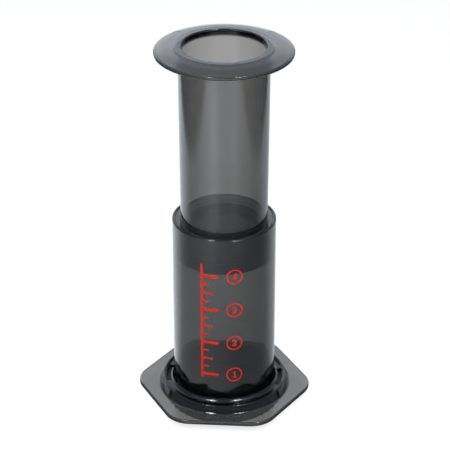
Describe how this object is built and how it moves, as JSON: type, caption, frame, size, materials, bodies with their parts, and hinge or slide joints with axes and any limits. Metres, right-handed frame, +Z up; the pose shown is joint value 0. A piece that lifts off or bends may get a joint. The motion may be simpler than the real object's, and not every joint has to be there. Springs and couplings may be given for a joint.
{
  "type": "piston coffee press",
  "caption": "Smoky plastic chamber on a six-sided flange, with a hollow sliding plunger, a rubber seal and a twist-lock perforated filter cap.",
  "frame": {"origin": "centre of the face that the press stands on, under its filter cap", "axes": "+Z up along the axis of the chamber and the plunger, X through two opposite corners of the flange, front at -Y"},
  "size_m": [0.1088, 0.0988, 0.2431],
  "materials": {
    "smoky_plastic": "gloss",
    "smoky_plunger_plastic": "gloss",
    "black_rubber": "satin",
    "black_plastic": "satin",
    "filter_paper": "matte"
  },
  "bodies": {
    "chamber": {"chamber": "smoky_plastic"},
    "seal": {"plunger_seal": "black_rubber"},
    "plunger": {"plunger": "smoky_plunger_plastic"},
    "filter_cap": {"filter_cap": "black_plastic", "paper_filter": "filter_paper"}
  },
  "joints": [
    {"name": "plunger_slide", "type": "slide", "parent": "chamber", "child": "seal", "axis": [0, 0, 1], "range_m": [-0.1013, 0.05]},
    {"name": "plunger_spin", "type": "hinge", "parent": "seal", "child": "plunger", "pos_m": [0, 0, 0.18], "axis": [0, 0, 1], "continuous": true},
    {"name": "filter_cap_twist", "type": "hinge", "parent": "chamber", "child": "filter_cap", "pos_m": [0, 0, 0.005], "axis": [0, 0, 1], "range_deg": [-45, 0]}
  ]
}
